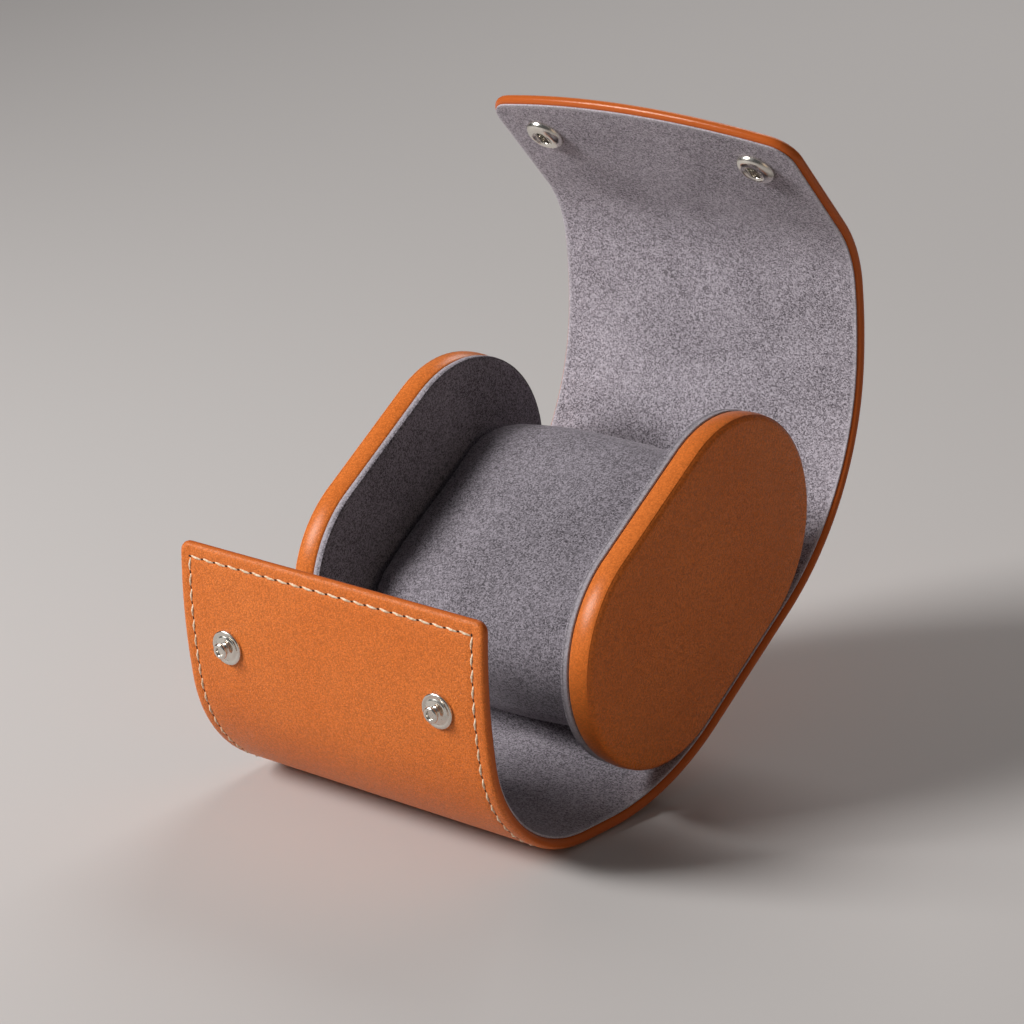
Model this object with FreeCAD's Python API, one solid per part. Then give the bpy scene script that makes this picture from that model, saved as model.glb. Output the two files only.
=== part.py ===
import FreeCAD, Part
import math
import os

# A roll-type travel case: a stiffened leather wrap, open at both sides, that folds round two obround
# cheeks with a suede pillow between them and closes with two press studs. It stands open here.
# +X is right seen from the front, +Y the back, +Z up. The origin is on the table, at the middle of
# the flat underside of the foot panel. All lengths are millimetres and all angles degrees.

# Wrap: leather outside, a stiffener, and a suede lining let in between turned leather edges
wrap_width = 76.0
leather = 0.8
stiffener = 1.3
lining = 0.4
edge_turn = 0.9
fold_gap = 0.2

# Side profile of the wrap's outer face, from the flap's top edge round to the lid's tip
flap_length = 29.5
flap_curve = 13.0
front_bend_radius = 29.6
front_bend_angle = 79.0
foot_length = 19.1
rear_bend_radius = 25.0
lean = 34.5
back_lead = 9.3
lid_lead = 4.0
lid_sweep_radius = 57.7
lid_sweep_angle = 55.5
lid_rise_length = 17.3
lid_rise_angle = 10.0
lid_brow_radius = 25.8
lid_brow_angle = 35.0
lid_end_length = 32.5

# Fold lines, each measured from the end of the stretch that it lies in
flap_fold_in_foot = 5.0
back_fold_in_rear_bend = 2.9
lid_fold_in_sweep = 3.2
lid_fold_pitch = 19.8
lid_middle_pitch = 21.4
lid_fold_in_brow = 3.2

# Free edges
flap_corner = 2.2
lid_corner = 5.0
lid_bow = 4.7

# Cheeks: a board in a leather cup, with a suede pad on the inner face
cheek_radius = 25.2
cheek_half_straight = 13.9
cheek_seat = 0.4
cheek_depth = 5.4
cheek_skin = 1.0
cheek_edge = 1.4
pad_depth = 2.1
pad_inset = 0.5
pad_edge = 1.3

# Spine: the board on the back panel that ties the two cheeks together
spine_end_gap = 0.5
spine_board = 2.4
spine_cover = 0.6

# Pillow: foam in a suede cover
pillow_length = 65.0
pillow_thickness = 32.0
pillow_corner = 13.0
pillow_skin = 1.0
pillow_side_gap = 0.4
pillow_seat_gap = 0.3
pillow_section_shares = [
    (-1.0, 0.84), (-0.8, 0.945), (-0.45, 0.985), (0.0, 1.0), (0.45, 0.985), (0.8, 0.945), (1.0, 0.84)]

# Press studs: the stud and its eyelet on the flap, the socket, its springs and its cap on the lid
snap_spacing = 53.0
stud_from_flap_edge = 19.8
socket_from_lid_tip = 12.8
stud_flange_diameter = 7.2
stud_flange = 0.8
stud_neck_diameter = 1.9
stud_neck = 1.1
stud_head_diameter = 3.0
stud_head = 1.9
eyelet_flange_diameter = 7.0
eyelet_flange = 0.5
eyelet_diameter = 2.8
socket_diameter = 8.0
socket_height = 1.7
socket_roof = 0.4
socket_wall = 0.8
socket_mouth_diameter = 3.4
spring_wire = 0.5
spring_side_gap = 0.15
cap_diameter = 9.6
cap_height = 1.0
cap_barrel_diameter = 4.6
cap_barrel_wall = 0.5
cap_dome_shares = [(0.0, 1.0), (0.55, 0.85), (0.88, 0.5), (1.0, 0.0)]
rivet_clearance = 0.05
snap_edge = 0.3

# Working values
overrun = 1.0
tolerance = 1e-6
wrap_thickness = leather + stiffener + lining
half_width = wrap_width / 2
cheek_inside = half_width - cheek_depth - pad_depth
back_length = back_lead + 2 * cheek_half_straight + lid_lead

# The wrap's outer face as stretches of a length and a turn, always turning the same way
stretches = [
    (flap_length, flap_curve),
    (front_bend_radius * math.radians(front_bend_angle), front_bend_angle),
    (foot_length, 0.0),
    (rear_bend_radius * math.radians(lean), lean),
    (back_length, 0.0),
    (lid_sweep_radius * math.radians(lid_sweep_angle), lid_sweep_angle),
    (lid_rise_length, lid_rise_angle),
    (lid_brow_radius * math.radians(lid_brow_angle), lid_brow_angle),
    (lid_end_length, 0.0),
]
station_ends = []
for length, turn in stretches:
    station_ends.append(sum(station_ends[-1:]) + length)
flap_top = 0.0
foot_front, foot_back, back_start, sweep_start = station_ends[1:5]
end_start, lid_tip = station_ends[-2:]

# The stations of the fold lines
flap_fold = foot_front + flap_fold_in_foot
back_fold = back_start - back_fold_in_rear_bend
lid_fold_1 = sweep_start + lid_fold_in_sweep
lid_fold_2 = lid_fold_1 + lid_fold_pitch
lid_fold_3 = lid_fold_2 + lid_middle_pitch
lid_fold_4 = end_start - lid_fold_in_brow


def advance(y, z, heading, length, turn):
    """The place and heading after one stretch, or part of one."""
    if turn == 0:
        angle = math.radians(heading)
        return y + length * math.cos(angle), z + length * math.sin(angle), heading
    radius = length / math.radians(turn)
    first, last = math.radians(heading), math.radians(heading + turn)
    return (y + radius * (math.sin(last) - math.sin(first)),
            z + radius * (math.cos(first) - math.cos(last)), heading + turn)


def raw_pose(station):
    """Place and heading on the outer face, with the flap's top edge at zero."""
    y, z, heading = 0.0, 0.0, -(flap_curve + front_bend_angle)
    begin = 0.0
    for count, (length, turn) in enumerate(stretches):
        last = count == len(stretches) - 1
        if station <= begin + length or last:
            part = station - begin
            return advance(y, z, heading, part, turn * part / length)
        y, z, heading = advance(y, z, heading, length, turn)
        begin += length


origin_y, origin_z = raw_pose((flap_fold + foot_back) / 2)[:2]


def heading_at(station):
    return raw_pose(station)[2]


def wrap_point(station, depth, x=0.0):
    """A point at a station of the wrap, at a depth inwards from its outer face."""
    y, z, heading = raw_pose(station)
    angle = math.radians(heading)
    return FreeCAD.Vector(
        x, y - origin_y - depth * math.sin(angle), z - origin_z + depth * math.cos(angle))


def inward(station):
    angle = math.radians(heading_at(station))
    return FreeCAD.Vector(0, -math.sin(angle), math.cos(angle))


def onward(station):
    angle = math.radians(heading_at(station))
    return FreeCAD.Vector(0, math.cos(angle), math.sin(angle))


def profile_edges(start, stop, depth, x):
    """Lines and arcs at one depth between two stations."""
    edges = []
    begin = 0.0
    for (length, turn), finish in zip(stretches, station_ends):
        low, high = max(start, begin), min(stop, finish)
        if finish == lid_tip:
            high = stop
        if begin == flap_top:
            low = start
        if high - low > tolerance:
            first, last = wrap_point(low, depth, x), wrap_point(high, depth, x)
            if turn == 0:
                edges.append(Part.LineSegment(first, last).toShape())
            else:
                middle = wrap_point((low + high) / 2, depth, x)
                edges.append(Part.Arc(first, middle, last).toShape())
        begin = finish
    return edges


def strip(start, stop, outer, inner, width):
    """One layer of the wrap between two stations and two depths, of a width across."""
    x = -width / 2
    wall = profile_edges(start, stop, outer, x)
    wall.append(Part.LineSegment(wrap_point(stop, outer, x), wrap_point(stop, inner, x)).toShape())
    wall += profile_edges(start, stop, inner, x)
    wall.append(Part.LineSegment(wrap_point(start, outer, x), wrap_point(start, inner, x)).toShape())
    wire = Part.Wire(Part.__sortEdges__(wall))
    return Part.Face(wire).extrude(FreeCAD.Vector(width, 0, 0))


def edge_shape(station, back, width, bow, corner, reach):
    """A block that trims a free end: square sides, a bowed end and rounded corners."""
    outward = inward(station) * -1
    tip = wrap_point(station, 0) + outward * wrap_thickness
    across = FreeCAD.Vector(width / 2, 0, 0)
    left, right = tip + back * bow - across, tip + back * bow + across
    far_left, far_right = tip + back * reach - across, tip + back * reach + across
    if bow > 0:
        end = Part.Arc(left, tip, right).toShape()
    else:
        end = Part.LineSegment(left, right).toShape()
    turns = (right, far_right, far_left, left)
    sides = [Part.LineSegment(first, last).toShape() for first, last in zip(turns, turns[1:])]
    block = Part.Face(Part.Wire([end] + sides)).extrude(outward * -reach)
    corners = []
    for edge in block.Edges:
        middle = edge.CenterOfMass
        along = (middle - tip).dot(back)
        flat = abs((edge.Vertexes[0].Point - edge.Vertexes[-1].Point).dot(back)) < tolerance
        if abs(abs(middle.x) - width / 2) < tolerance and abs(along - bow) < tolerance and flat:
            corners.append(edge)
    return block.makeFillet(corner, corners)


def lid_edge(inset):
    """The lid's outline, drawn in by an inset."""
    back = onward(lid_tip) * -1
    reach = lid_end_length + 2 * lid_brow_radius
    shape = edge_shape(lid_tip, back, wrap_width - 2 * inset, lid_bow, lid_corner - inset, reach)
    return shape.translated(back * inset)


def flap_edge(inset):
    """The flap's outline at its top edge, drawn in by an inset."""
    back = onward(flap_top)
    reach = flap_length + 2 * front_bend_radius
    shape = edge_shape(flap_top, back, wrap_width - 2 * inset, 0, flap_corner - inset, reach)
    return shape.translated(back * inset)


def panel(start, stop, edge=None):
    """The leather, stiffener and lining of one panel between two fold lines."""
    pocket_width = wrap_width - 2 * edge_turn
    body = strip(start, stop, 0, wrap_thickness, wrap_width)
    pocket = strip(start - overrun, stop + overrun, leather, wrap_thickness + overrun, pocket_width)
    board = strip(start, stop, leather, leather + stiffener, pocket_width)
    suede = strip(start, stop, leather + stiffener, wrap_thickness, pocket_width)
    if edge:
        inner = edge(edge_turn)
        body, pocket = body.common(edge(0)), pocket.common(inner)
        board, suede = board.common(inner), suede.common(inner)
    return {"leather": body.cut(pocket), "board": board, "lining": suede}


def turned(profile, base, direction):
    """A solid of revolution from points of (radius, height) about a line."""
    points = [FreeCAD.Vector(radius, 0, height) for radius, height in profile]
    face = Part.Face(Part.makePolygon(points + points[:1]))
    solid = face.revolve(FreeCAD.Vector(0, 0, 0), FreeCAD.Vector(0, 0, 1), 360)
    solid.Placement = FreeCAD.Placement(base, FreeCAD.Rotation(FreeCAD.Vector(0, 0, 1), direction))
    return solid


def pair(maker):
    """One solid at each snap position across the wrap."""
    return [maker(side * snap_spacing / 2) for side in (-1, 1)]


# The cheeks' own axes: along the back panel, and across it towards the front
cheek_station = back_start + back_lead + cheek_half_straight
cheek_along = onward(cheek_station)
cheek_front = inward(cheek_station)
cheek_floor = cheek_radius + cheek_seat
cheek_centre = wrap_point(cheek_station, wrap_thickness + cheek_floor)


def cheek_point(along, across, x):
    return cheek_centre + cheek_along * along + cheek_front * across + FreeCAD.Vector(x, 0, 0)


def obround(radius, x, depth):
    """A flat-sided disc from x, of a depth towards +X."""
    half = cheek_half_straight
    low_near, low_far = cheek_point(-half, -radius, x), cheek_point(half, -radius, x)
    high_near, high_far = cheek_point(-half, radius, x), cheek_point(half, radius, x)
    edges = [
        Part.LineSegment(low_near, low_far).toShape(),
        Part.Arc(low_far, cheek_point(half + radius, 0, x), high_far).toShape(),
        Part.LineSegment(high_far, high_near).toShape(),
        Part.Arc(high_near, cheek_point(-half - radius, 0, x), low_near).toShape(),
    ]
    return Part.Face(Part.Wire(edges)).extrude(FreeCAD.Vector(depth, 0, 0))


def rim_edges(solid, x):
    """The edges of a disc's face at x."""
    flat = [edge for edge in solid.Edges if edge.BoundBox.XLength < tolerance]
    return [edge for edge in flat if abs(edge.BoundBox.XMin - x) < tolerance]


def cheek():
    """The right cheek: its leather cup, its board and its suede pad."""
    inner_face = half_width - cheek_depth
    cup = obround(cheek_radius, inner_face, cheek_depth)
    cup = cup.makeFillet(cheek_edge, rim_edges(cup, half_width))
    hollow = obround(cheek_radius - cheek_skin, inner_face - overrun, cheek_depth - cheek_skin + overrun)
    board = obround(cheek_radius - cheek_skin, inner_face, cheek_depth - cheek_skin)
    pad = obround(cheek_radius - pad_inset, inner_face - pad_depth, pad_depth)
    pad = pad.makeFillet(pad_edge, rim_edges(pad, inner_face - pad_depth))
    return {"leather": cup.cut(hollow), "board": board, "pad": pad}


def cheek_block(length, low, high, x_half):
    """A block on the back panel, centred between the cheeks."""
    corners = ((-length / 2, low), (length / 2, low), (length / 2, high), (-length / 2, high))
    points = [cheek_point(along, across, -x_half) for along, across in corners]
    return Part.Face(Part.makePolygon(points + points[:1])).extrude(FreeCAD.Vector(2 * x_half, 0, 0))


def spine():
    """The board between the cheeks and the suede stretched over it."""
    top = spine_board + spine_cover - cheek_floor
    cover_length = 2 * (cheek_half_straight + lid_lead - spine_end_gap)
    board_length = cover_length - 2 * spine_cover
    board = cheek_block(board_length, -cheek_floor, spine_board - cheek_floor, cheek_inside)
    cover = cheek_block(cover_length, -cheek_floor, top, cheek_inside)
    return board, cover.cut(board)


pillow_low = spine_board + spine_cover + pillow_seat_gap - cheek_floor
pillow_half_width = cheek_inside - pillow_side_gap


def pillow_section(x, share, inset):
    """A rounded rectangle of lines and quarter arcs, drawn in towards the pillow's ends."""
    half_length = pillow_length * share / 2 - inset
    half_thick = pillow_thickness * share / 2 - inset
    corner = pillow_corner * share - inset
    middle = pillow_low + pillow_thickness / 2
    bend = corner * (1 - math.sqrt(0.5))

    def at(along, across):
        return cheek_point(along, middle + across, x)

    edges = []
    for sign_a, sign_b, swap in ((1, -1, False), (1, 1, True), (-1, 1, False), (-1, -1, True)):
        across_end = at(sign_a * (half_length - corner), sign_b * half_thick)
        along_end = at(sign_a * half_length, sign_b * (half_thick - corner))
        knee = at(sign_a * (half_length - bend), sign_b * (half_thick - bend))
        first, last = (along_end, across_end) if swap else (across_end, along_end)
        if edges:
            edges.append(Part.LineSegment(previous, first).toShape())
        else:
            opening = first
        edges.append(Part.Arc(first, knee, last).toShape())
        previous = last
    edges.append(Part.LineSegment(previous, opening).toShape())
    return Part.Wire(edges)


def pillow_body(inset):
    """The crowned roll, drawn in at both ends, smaller all round by an inset."""
    reach = pillow_half_width - inset
    sections = [pillow_section(place * reach, share, inset) for place, share in pillow_section_shares]
    return Part.makeLoft(sections, True, False)


# Where the press studs sit, and how far the flap's hollow side falls away under a flat flange
stud_station = flap_top + stud_from_flap_edge
socket_station = lid_tip - socket_from_lid_tip
hollow_radius = flap_length / math.radians(flap_curve) - wrap_thickness
seat_sag = (eyelet_flange_diameter / 2) ** 2 / (2 * hollow_radius)


def stud(x):
    """The flap's stud: a flange, a neck and a ball head with a chamfer above and below."""
    flange, neck, head = stud_flange_diameter / 2, stud_neck_diameter / 2, stud_head_diameter / 2
    neck_top = stud_flange + stud_neck
    top = neck_top + stud_head
    slope = head - neck
    profile = [
        (0, 0), (flange, 0), (flange, stud_flange - snap_edge), (flange - snap_edge, stud_flange),
        (neck, stud_flange), (neck, neck_top), (head, neck_top + slope), (head, top - slope),
        (neck, top), (0, top)]
    return turned(profile, wrap_point(stud_station, 0, x), inward(stud_station) * -1)


def eyelet(x):
    """The rivet that holds a stud: a flange on the lining and a barrel through the flap."""
    flange, barrel = eyelet_flange_diameter / 2, eyelet_diameter / 2
    reach = wrap_thickness + seat_sag
    top = reach + eyelet_flange
    profile = [
        (0, 0), (barrel, 0), (barrel, reach), (flange, reach), (flange, top - snap_edge),
        (flange - snap_edge, top), (0, top)]
    return turned(profile, wrap_point(stud_station, 0, x), inward(stud_station))


def socket(x):
    """The lid's socket: a domed ring with a mouth, hollow under its roof for the springs."""
    outer, mouth = socket_diameter / 2, socket_mouth_diameter / 2
    inner = outer - socket_wall
    floor = socket_height - socket_roof
    profile = [
        (inner, 0), (outer, 0), (outer, floor), (outer - socket_roof, socket_height),
        (mouth, socket_height), (mouth, floor), (inner, floor)]
    return turned(profile, wrap_point(socket_station, wrap_thickness, x), inward(socket_station))


def springs(x):
    """The two wires that grip the stud's neck, under the socket's roof."""
    height = socket_height - socket_roof - spring_wire / 2
    offset = stud_neck_diameter / 2 + spring_side_gap + spring_wire / 2
    room = socket_diameter / 2 - socket_wall - rivet_clearance
    half = math.sqrt(room ** 2 - (offset + spring_wire / 2) ** 2)
    along = onward(socket_station)
    wires = []
    for side in (-1, 1):
        end = wrap_point(socket_station, wrap_thickness + height, x + side * offset) - along * half
        wires.append(Part.makeCylinder(spring_wire / 2, 2 * half, end, along))
    return wires


def cap(x):
    """The lid's cap: a dome on the leather and a hollow barrel through to the socket."""
    outer, barrel = cap_diameter / 2, cap_barrel_diameter / 2
    bore = barrel - cap_barrel_wall
    dome = [(outer * across, -cap_height * up) for across, up in cap_dome_shares]
    tube = [(barrel, 0), (barrel, wrap_thickness), (bore, wrap_thickness), (bore, leather), (0, leather)]
    return turned(dome + tube, wrap_point(socket_station, 0, x), inward(socket_station))


def drilled(layers, station, diameter):
    """Each layer of a panel with the two rivet holes through it."""
    length = wrap_thickness + 2 * overrun
    for x in (-snap_spacing / 2, snap_spacing / 2):
        start = wrap_point(station, -overrun, x)
        drill = Part.makeCylinder(diameter / 2 + rivet_clearance, length, start, inward(station))
        layers = {name: layer.cut(drill) for name, layer in layers.items()}
    return layers


def save(name, shape):
    solids = shape if isinstance(shape, list) else [shape]
    whole = Part.makeCompound([solid for item in solids for solid in item.Solids])
    whole.exportStep("parts/" + name + ".step")
    print(name, len(whole.Solids), round(whole.Volume, 1), whole.isValid())


os.makedirs("parts", exist_ok=True)
half_gap = fold_gap / 2

# The wrap's panels, each with its three layers
wrap_panels = {
    "flap": panel(flap_top, flap_fold - half_gap, flap_edge),
    "foot": panel(flap_fold + half_gap, back_fold - half_gap),
    "back": panel(back_fold + half_gap, lid_fold_1 - half_gap),
    "lid_lower": panel(lid_fold_1 + half_gap, lid_fold_2 - half_gap),
    "lid_middle": panel(lid_fold_2 + half_gap, lid_fold_3 - half_gap),
    "lid_upper": panel(lid_fold_3 + half_gap, lid_fold_4 - half_gap),
    "lid_end": panel(lid_fold_4 + half_gap, lid_tip, lid_edge),
}
wrap_panels["flap"] = drilled(wrap_panels["flap"], stud_station, eyelet_diameter)
wrap_panels["lid_end"] = drilled(wrap_panels["lid_end"], socket_station, cap_barrel_diameter)
stiffener_names = {"flap": "flap_plate", "foot": "foot_plate"}
for place, layers in wrap_panels.items():
    save(place + "_leather", layers["leather"])
    save(stiffener_names.get(place, place + "_board"), layers["board"])
    save(place + "_lining", layers["lining"])

# The cheeks, a mirrored pair
for layer, solid in cheek().items():
    save("right_cheek_" + layer, solid)
    save("left_cheek_" + layer, solid.mirror(FreeCAD.Vector(0, 0, 0), FreeCAD.Vector(1, 0, 0)))

# The spine and the pillow
spine_solid, spine_skin = spine()
save("spine_board", spine_solid)
save("spine_cover", spine_skin)
pillow_foam = pillow_body(pillow_skin)
save("pillow_foam", pillow_foam)
save("pillow_cover", pillow_body(0).cut(pillow_foam))

# The press studs
save("snap_studs", pair(stud))
save("snap_eyelets", pair(eyelet))
save("snap_sockets", pair(socket))
save("snap_springs", [wire for wires in pair(springs) for wire in wires])
save("snap_caps", pair(cap))

# The fold lines lie on the lining's face: these are the joints' places
for station in (flap_fold, back_fold, lid_fold_1, lid_fold_2, lid_fold_3, lid_fold_4):
    place = wrap_point(station, wrap_thickness)
    print("fold line at y", round(place.y, 4), "z", round(place.z, 4))
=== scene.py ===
import math
import bpy
from mathutils import Matrix, Vector, noise


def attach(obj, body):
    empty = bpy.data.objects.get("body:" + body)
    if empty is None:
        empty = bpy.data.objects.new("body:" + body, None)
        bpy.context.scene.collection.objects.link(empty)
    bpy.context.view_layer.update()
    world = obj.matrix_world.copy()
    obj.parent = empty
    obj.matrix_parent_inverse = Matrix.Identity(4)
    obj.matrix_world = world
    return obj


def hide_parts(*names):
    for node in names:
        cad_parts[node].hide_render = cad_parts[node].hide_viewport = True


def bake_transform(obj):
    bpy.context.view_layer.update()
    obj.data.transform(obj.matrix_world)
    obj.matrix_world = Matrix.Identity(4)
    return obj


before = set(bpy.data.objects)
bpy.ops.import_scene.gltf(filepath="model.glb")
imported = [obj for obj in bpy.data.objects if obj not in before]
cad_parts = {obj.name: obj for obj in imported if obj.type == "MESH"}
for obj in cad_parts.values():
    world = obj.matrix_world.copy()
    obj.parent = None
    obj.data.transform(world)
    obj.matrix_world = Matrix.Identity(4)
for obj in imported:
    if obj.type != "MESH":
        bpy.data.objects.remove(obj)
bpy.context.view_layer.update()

# Stage: a plain pale floor and the camera of the photograph. A soft key lamp stands at the front left,
# one behind lights the floor at the back, and a faint warm one at the right lightens the shade.
# Sizes are metres, written through millimetres.
MM = 0.001
floor_size = 12.0
floor_drop = 0.3 * MM
camera_place = (397.95 * MM, -480.98 * MM, 259.52 * MM)
camera_elevation = 18.09
camera_azimuth = 38.92
camera_lens = 118.1
lamp_target = Vector((0, 20 * MM, 50 * MM))


def colour(hex_value):
    """The linear colour of an sRGB hex value."""
    channels = [int(hex_value[k:k + 2], 16) / 255 for k in (1, 3, 5)]
    linear = [c / 12.92 if c <= 0.04045 else ((c + 0.055) / 1.055) ** 2.4 for c in channels]
    return (*linear, 1.0)


def new_material(name):
    """An empty material and its shader."""
    made = bpy.data.materials.new(name)
    made.use_nodes = True
    return made.node_tree, made.node_tree.nodes["Principled BSDF"], made


def deselect():
    """Leaves edit mode and selects nothing."""
    if bpy.context.mode != "OBJECT":
        bpy.ops.object.mode_set(mode="OBJECT")
    bpy.ops.object.select_all(action="DESELECT")


def add_lamp(name, place, size, power, spread, tint):
    """A square lamp that faces the case."""
    deselect()
    bpy.ops.object.light_add(type="AREA", location=place)
    lamp = bpy.context.object
    lamp.name = name
    lamp.data.size = size
    lamp.data.energy = power
    lamp.data.spread = math.radians(spread)
    lamp.data.color = colour(tint)[:3]
    lamp.rotation_euler = (lamp_target - Vector(place)).to_track_quat("-Z", "Y").to_euler()


deselect()
bpy.ops.mesh.primitive_plane_add(size=floor_size, location=(0, 0, -floor_drop))
floor = bpy.context.object
floor.name = "floor"
floor_shader, floor_paint = new_material("pale_floor")[1:]
floor_shader.inputs["Base Color"].default_value = colour("#C9C4C1")
floor_shader.inputs["Roughness"].default_value = 0.9
floor_shader.inputs["Specular IOR Level"].default_value = 0.1
floor.data.materials.append(floor_paint)

add_lamp("key_lamp", place=(-0.66, -0.74, 0.66), size=0.45, power=5.0, spread=100, tint="#FFFFFF")
add_lamp("rim_lamp", place=(-0.45, 1.1, 1.0), size=0.7, power=7.0, spread=180, tint="#FFFFFF")
add_lamp("side_lamp", place=(0.85, -0.2, 0.2), size=0.5, power=0.092, spread=70, tint="#FFE2C2")
world = bpy.data.worlds.new("studio")
bpy.context.scene.world = world
world.use_nodes = True
world.node_tree.nodes["Background"].inputs["Color"].default_value = colour("#F2F3F5")
world.node_tree.nodes["Background"].inputs["Strength"].default_value = 0.1

deselect()
bpy.ops.object.camera_add(
    location=camera_place,
    rotation=(math.radians(90 - camera_elevation), 0, math.radians(camera_azimuth)))
bpy.context.object.data.lens = camera_lens
bpy.context.scene.camera = bpy.context.object
bpy.context.scene.view_settings.view_transform = "Standard"

# Wrap leather: one strip of tan full-grain leather, turned in over a stiffener along its whole outline,
# so that every edge is a round roll. It is cut flat and then rolled round the side profile.
# It is kept in six lengths, each holding one fold line between two bodies.
wrap_width = 76 * MM
wrap_thickness = 2.5 * MM
lining_thickness = 0.4 * MM
flap_length, flap_curve = 29.5 * MM, 13.0
front_bend_radius, front_bend_angle = 29.6 * MM, 79.0
# the leather takes the rear bend more gently than the plate under it, between the same two straights
rear_bend_radius, lean = 60 * MM, 34.5
plate_bend_radius = 25 * MM
plate_foot_length, plate_back_length = 19.1 * MM, 41.1 * MM
bend_growth = (rear_bend_radius - plate_bend_radius) * math.tan(math.radians(lean / 2))
foot_length = plate_foot_length - bend_growth
back_length = plate_back_length - bend_growth
lid_sweep_radius, lid_sweep_angle = 57.7 * MM, 55.5
lid_rise_length, lid_rise_angle = 17.3 * MM, 10.0
lid_brow_radius, lid_brow_angle = 25.8 * MM, 35.0
lid_end_length = 32.5 * MM
flap_corner = 2.2 * MM
lid_corner = 5 * MM
lid_bow = 4.7 * MM
stretches = [
    (flap_length, flap_curve),
    (front_bend_radius * math.radians(front_bend_angle), front_bend_angle),
    (foot_length, 0.0),
    (rear_bend_radius * math.radians(lean), lean),
    (back_length, 0.0),
    (lid_sweep_radius * math.radians(lid_sweep_angle), lid_sweep_angle),
    (lid_rise_length, lid_rise_angle),
    (lid_brow_radius * math.radians(lid_brow_angle), lid_brow_angle),
    (lid_end_length, 0.0),
]
station_ends = [sum(length for length, turn in stretches[:k + 1]) for k in range(len(stretches))]
foot_front = station_ends[1]
back_start, sweep_start = station_ends[3:5]
brow_end, lid_tip = station_ends[-2:]
panel_bodies = ["flap", "foot", "back", "lid_lower", "lid_middle", "lid_upper", "lid_end"]
flap_fold_place, back_fold_place, lid_fold_place = 5 * MM, 13.8 * MM, 3.2 * MM
lid_fold_steps = (19.8 * MM, 41.2 * MM)
folds = [foot_front + flap_fold_place, back_start - back_fold_place, sweep_start + lid_fold_place]
folds += [folds[-1] + step for step in lid_fold_steps] + [brow_end - lid_fold_place]
foot_middle = 12.05 * MM
borders = [0.0, foot_front + foot_middle, back_start + back_length / 2]
borders += [(folds[k] + folds[k + 1]) / 2 for k in (2, 3, 4)] + [lid_tip]
bend_reach = 6.5 * MM
row_pitch = 1.5 * MM
column_pitch, half_columns = 4 * MM, 9
edge_steps = 5
corner_steps = 6
tip_cuts = 23
corner_margin = 0.5 * MM
hair = 0.001 * MM
merge_gap = 0.01 * MM
stitch_inset = 2.8 * MM
groove_depth, groove_half_width = 0.16 * MM, 0.9 * MM
groove_columns = [stitch_inset + groove_half_width * share for share in (-1, -0.5, 0, 0.5, 1, 2)]
leather_thickness = wrap_thickness - lining_thickness


def raw_pose(station):
    """Place and heading on the wrap's outer face, with the flap's top edge at zero."""
    y, z, heading = 0.0, 0.0, -math.radians(flap_curve + front_bend_angle)
    begin = 0.0
    for length, turn in stretches:
        last = begin + length >= station or (length, turn) == stretches[-1]
        part = station - begin if last else length
        bend = math.radians(turn) * part / length
        if abs(bend) < 1e-9:
            y, z = y + part * math.cos(heading), z + part * math.sin(heading)
        else:
            radius = part / bend
            y += radius * (math.sin(heading + bend) - math.sin(heading))
            z += radius * (math.cos(heading) - math.cos(heading + bend))
        heading += bend
        begin += length
        if last:
            return y, z, heading


origin_y, origin_z = raw_pose(foot_front)[:2]
origin_y += foot_middle


def wrap_point(station, depth, x=0.0):
    """A point of the wrap at a station, at a depth inwards from its outer face."""
    y, z, heading = raw_pose(station)
    return Vector((
        x, y - origin_y - depth * math.sin(heading), z - origin_z + depth * math.cos(heading)))


def inward(station):
    """The direction from the wrap's outer face to its inner face."""
    heading = raw_pose(station)[2]
    return Vector((0, -math.sin(heading), math.cos(heading)))


def tip_drop(x):
    """How far the bowed tip of the lid falls back at x."""
    radius = ((wrap_width / 2) ** 2 + lid_bow ** 2) / (2 * lid_bow)
    return radius - math.sqrt(radius ** 2 - x ** 2)


def pick(piece, kind, test):
    """Selects the vertices, edges or faces of a piece that pass a test, and enters edit mode."""
    bpy.ops.object.mode_set(mode="OBJECT")
    for group in (piece.data.vertices, piece.data.edges, piece.data.polygons):
        group.foreach_set("select", [False] * len(group))
    bpy.context.tool_settings.mesh_select_mode = (kind == "VERT", kind == "EDGE", kind == "FACE")
    group = {"VERT": piece.data.vertices, "EDGE": piece.data.edges, "FACE": piece.data.polygons}[kind]
    for element in group:
        element.select = test(element)
    bpy.ops.object.mode_set(mode="EDIT")


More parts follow.
